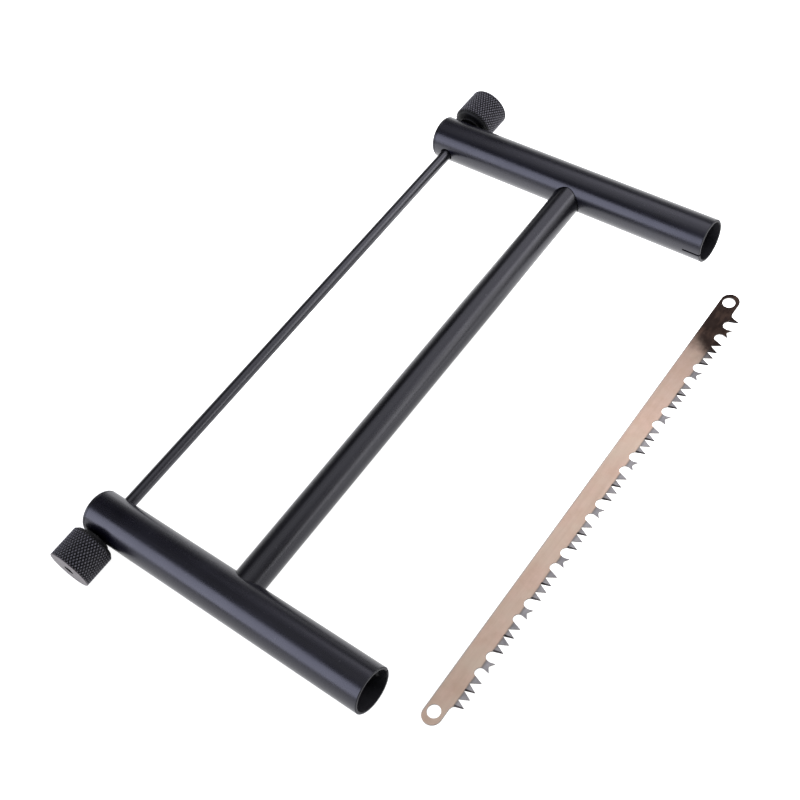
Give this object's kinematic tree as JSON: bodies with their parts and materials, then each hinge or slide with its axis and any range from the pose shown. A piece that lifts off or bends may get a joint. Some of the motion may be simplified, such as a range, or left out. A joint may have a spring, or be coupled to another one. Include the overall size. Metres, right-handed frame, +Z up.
{
  "type": "bow saw",
  "caption": "Take-down bow saw: two round tube cheeks on a cross tube, drawn together by a threaded rod with knurled nuts, with a slim peg-and-raker blade laid beside them.",
  "frame": {"origin": "on the bench, under the middle of the box round the opened-out saw and its blade", "axes": "+X along the blade and the rod, from cheek A to cheek B; +Y from the blade towards the rod; +Z up from the bench the saw lies on"},
  "size_m": [0.3812, 0.2216, 0.025],
  "materials": {
    "black_tube": "satin black anodised, blue-grey in the highlights",
    "black_plug": "satin black anodised, with fine turning lines",
    "black_knurl": "black anodised diamond knurl with paler faced ends",
    "black_rod": "satin black",
    "blade_steel": "warm satin steel, with blue-grey hardened teeth",
    "pin_steel": "dark satin"
  },
  "bodies": {
    "frame": {"cheek_tube_a": "black_tube", "end_plug_a": "black_plug", "blade_pin_a": "pin_steel", "cross_tube": "black_tube"},
    "nut_a": {"knurled_nut_a": "black_knurl"},
    "rod": {"tension_rod": "black_rod"},
    "cheek_b": {"cheek_tube_b": "black_tube", "end_plug_b": "black_plug", "blade_pin_b": "pin_steel"},
    "nut_b": {"knurled_nut_b": "black_knurl"},
    "blade": {"saw_blade": "blade_steel"}
  },
  "joints": [
    {"name": "nut_a_turn", "type": "hinge", "parent": "frame", "child": "nut_a", "pos_m": [-0.18, 0.0983, 0.0125], "axis": [1, 0, 0], "range_deg": [0, 3263]},
    {"name": "rod_draw", "type": "slide", "parent": "frame", "child": "rod", "axis": [-1, 0, 0], "range_m": [0, 0.00725]},
    {"name": "cheek_b_draw", "type": "slide", "parent": "rod", "child": "cheek_b", "axis": [-1, 0, 0], "range_m": [0, 0.00725]},
    {"name": "nut_b_turn", "type": "hinge", "parent": "cheek_b", "child": "nut_b", "pos_m": [0.18, 0.0983, 0.0125], "axis": [-1, 0, 0], "range_deg": [0, 3263]},
    {"name": "blade_to_slots", "type": "slide", "parent": "frame", "child": "blade", "axis": [0, 0.855, 0.5186], "range_m": [0, 0.02333]}
  ],
  "couplings": [
    {"joint": "nut_a_turn", "follows": "rod_draw", "rad_per_m": 7854},
    {"joint": "nut_b_turn", "follows": "cheek_b_draw", "rad_per_m": 7854}
  ]
}
